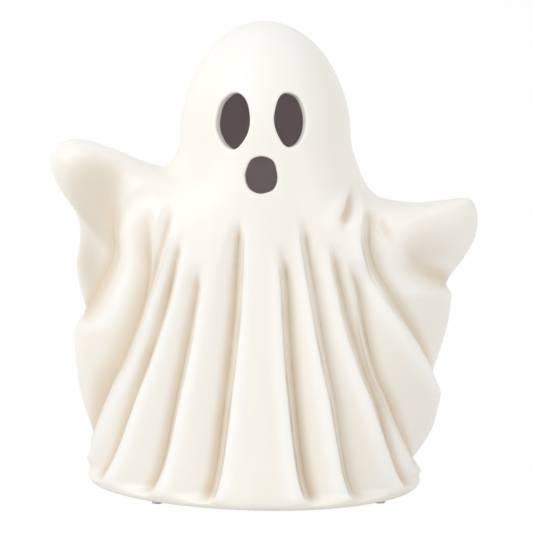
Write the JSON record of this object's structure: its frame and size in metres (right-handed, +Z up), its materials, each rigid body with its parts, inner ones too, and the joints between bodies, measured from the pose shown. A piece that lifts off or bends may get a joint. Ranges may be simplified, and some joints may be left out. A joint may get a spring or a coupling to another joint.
{
  "type": "ceramic ghost figure",
  "caption": "Hollow glazed ceramic sheet ghost with one arm raised, draped folds, cut-out eyes and round mouth, lit from inside by a battery lamp set in its floor.",
  "frame": {"origin": "middle of the part's footprint, on the surface that its foot pads stand on", "axes": "+Z up to the crown, the face looks along -Y, +X is the side of the lower hand and -X the side of the raised hand"},
  "size_m": [0.1954, 0.1202, 0.216],
  "materials": {
    "glaze": "gloss",
    "clear_pad": "satin",
    "sealant": "satin",
    "housing_plastic": "satin",
    "door_plastic": "satin",
    "screw_steel": "satin",
    "battery_sleeve": "gloss",
    "contact_nickel": "gloss",
    "board_green": "satin",
    "chip_black": "matte",
    "resistor_body": "satin",
    "capacitor_can": "gloss",
    "lamp_lens": "gloss",
    "tinned_lead": "satin",
    "frosted_plastic": "matte",
    "switch_steel": "satin",
    "knob_black": "satin",
    "wire_red": "satin",
    "wire_black": "satin",
    "wire_yellow": "satin"
  },
  "bodies": {
    "ghost": {"ghost_shell": "glaze", "foot_pads": "clear_pad", "sealant_ring": "sealant", "light_housing": "housing_plastic", "housing_cover": "housing_plastic", "cover_screws": "screw_steel", "battery_1": "battery_sleeve", "battery_2": "battery_sleeve", "battery_3": "battery_sleeve", "contact_springs": "contact_nickel", "contact_plates": "contact_nickel", "circuit_board": "board_green", "board_screws": "screw_steel", "timer_chip": "chip_black", "resistor": "resistor_body", "capacitor": "capacitor_can", "led_lens": "lamp_lens", "led_leads": "tinned_lead", "light_diffuser": "frosted_plastic", "switch_body": "switch_steel", "switch_screws": "screw_steel", "red_wire": "wire_red", "black_wire": "wire_black", "switch_wires": "wire_yellow"},
    "door": {"battery_door": "door_plastic"},
    "switch_knob": {"switch_slider": "knob_black"}
  },
  "joints": [
    {"name": "battery_door_hinge", "type": "hinge", "parent": "ghost", "child": "door", "pos_m": [0, -0.02325, 0.0048], "axis": [-1, 0, 0], "range_deg": [0, 95]},
    {"name": "switch_slide", "type": "slide", "parent": "ghost", "child": "switch_knob", "axis": [0, 1, 0], "range_m": [0, 0.004]}
  ]
}
